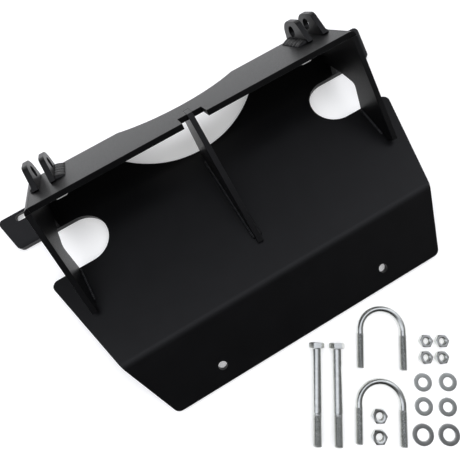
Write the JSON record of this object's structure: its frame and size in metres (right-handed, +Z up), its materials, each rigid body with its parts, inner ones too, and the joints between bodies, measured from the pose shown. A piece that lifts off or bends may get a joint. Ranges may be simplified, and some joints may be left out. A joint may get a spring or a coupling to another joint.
{
  "type": "plow mounting bracket",
  "caption": "Welded black steel plow mounting bracket for an ATV, bent plate with gussets and pivot ears, lying beside its loose zinc bolts, U-bolts, nuts and washers.",
  "frame": {"origin": "centre of the whole footprint, bracket and laid-out fasteners, on the floor", "axes": "+Z up; +X across the bracket's width, towards its right-hand ears; +Y from the fasteners towards the ears"},
  "size_m": [0.5018, 0.4916, 0.094],
  "materials": {
    "black_powder_coat": "fine-textured satin black powder coat",
    "black_weld_bead": "rippled weld bead under satin black powder coat",
    "zinc_plate": "bright zinc plate",
    "dull_zinc": "dull grey zinc plate"
  },
  "bodies": {
    "bracket": {"main_plate": "black_powder_coat", "top_plate": "black_powder_coat", "gusset_left": "black_powder_coat", "gusset_centre": "black_powder_coat", "gusset_right": "black_powder_coat", "ear_left_outer": "black_powder_coat", "ear_left_inner": "black_powder_coat", "ear_right_inner": "black_powder_coat", "ear_right_outer": "black_powder_coat", "corner_weld_left": "black_weld_bead", "corner_weld_right": "black_weld_bead", "ear_weld_left": "black_weld_bead", "ear_weld_right": "black_weld_bead", "gusset_weld_left": "black_weld_bead", "gusset_weld_centre": "black_weld_bead", "gusset_weld_right": "black_weld_bead", "tab_weld_centre": "black_weld_bead"},
    "hex_bolt_1": {"hex_bolt_1": "zinc_plate"},
    "hex_bolt_2": {"hex_bolt_2": "zinc_plate"},
    "u_bolt_1": {"u_bolt_1": "zinc_plate"},
    "u_bolt_2": {"u_bolt_2": "zinc_plate"},
    "small_nut_1": {"small_nut_1": "zinc_plate"},
    "small_nut_2": {"small_nut_2": "zinc_plate"},
    "small_nut_3": {"small_nut_3": "zinc_plate"},
    "small_nut_4": {"small_nut_4": "zinc_plate"},
    "large_nut_1": {"large_nut_1": "zinc_plate"},
    "large_nut_2": {"large_nut_2": "zinc_plate"},
    "small_washer_1": {"small_washer_1": "dull_zinc"},
    "small_washer_2": {"small_washer_2": "dull_zinc"},
    "small_washer_3": {"small_washer_3": "dull_zinc"},
    "small_washer_4": {"small_washer_4": "dull_zinc"},
    "large_washer_1": {"large_washer_1": "dull_zinc"},
    "large_washer_2": {"large_washer_2": "dull_zinc"}
  },
  "joints": [
    {"name": "hex_bolt_1_lift", "type": "slide", "parent": "bracket", "child": "hex_bolt_1", "axis": [0, 0, 1], "range_m": [0, 0.15]},
    {"name": "hex_bolt_2_lift", "type": "slide", "parent": "bracket", "child": "hex_bolt_2", "axis": [0, 0, 1], "range_m": [0, 0.15]},
    {"name": "u_bolt_1_lift", "type": "slide", "parent": "bracket", "child": "u_bolt_1", "axis": [0, 0, 1], "range_m": [0, 0.15]},
    {"name": "u_bolt_2_lift", "type": "slide", "parent": "bracket", "child": "u_bolt_2", "axis": [0, 0, 1], "range_m": [0, 0.15]},
    {"name": "small_nut_1_lift", "type": "slide", "parent": "bracket", "child": "small_nut_1", "axis": [0, 0, 1], "range_m": [0, 0.15]},
    {"name": "small_nut_2_lift", "type": "slide", "parent": "bracket", "child": "small_nut_2", "axis": [0, 0, 1], "range_m": [0, 0.15]},
    {"name": "small_nut_3_lift", "type": "slide", "parent": "bracket", "child": "small_nut_3", "axis": [0, 0, 1], "range_m": [0, 0.15]},
    {"name": "small_nut_4_lift", "type": "slide", "parent": "bracket", "child": "small_nut_4", "axis": [0, 0, 1], "range_m": [0, 0.15]},
    {"name": "large_nut_1_lift", "type": "slide", "parent": "bracket", "child": "large_nut_1", "axis": [0, 0, 1], "range_m": [0, 0.15]},
    {"name": "large_nut_2_lift", "type": "slide", "parent": "bracket", "child": "large_nut_2", "axis": [0, 0, 1], "range_m": [0, 0.15]},
    {"name": "small_washer_1_lift", "type": "slide", "parent": "bracket", "child": "small_washer_1", "axis": [0, 0, 1], "range_m": [0, 0.15]},
    {"name": "small_washer_2_lift", "type": "slide", "parent": "bracket", "child": "small_washer_2", "axis": [0, 0, 1], "range_m": [0, 0.15]},
    {"name": "small_washer_3_lift", "type": "slide", "parent": "bracket", "child": "small_washer_3", "axis": [0, 0, 1], "range_m": [0, 0.15]},
    {"name": "small_washer_4_lift", "type": "slide", "parent": "bracket", "child": "small_washer_4", "axis": [0, 0, 1], "range_m": [0, 0.15]},
    {"name": "large_washer_1_lift", "type": "slide", "parent": "bracket", "child": "large_washer_1", "axis": [0, 0, 1], "range_m": [0, 0.15]},
    {"name": "large_washer_2_lift", "type": "slide", "parent": "bracket", "child": "large_washer_2", "axis": [0, 0, 1], "range_m": [0, 0.15]}
  ]
}
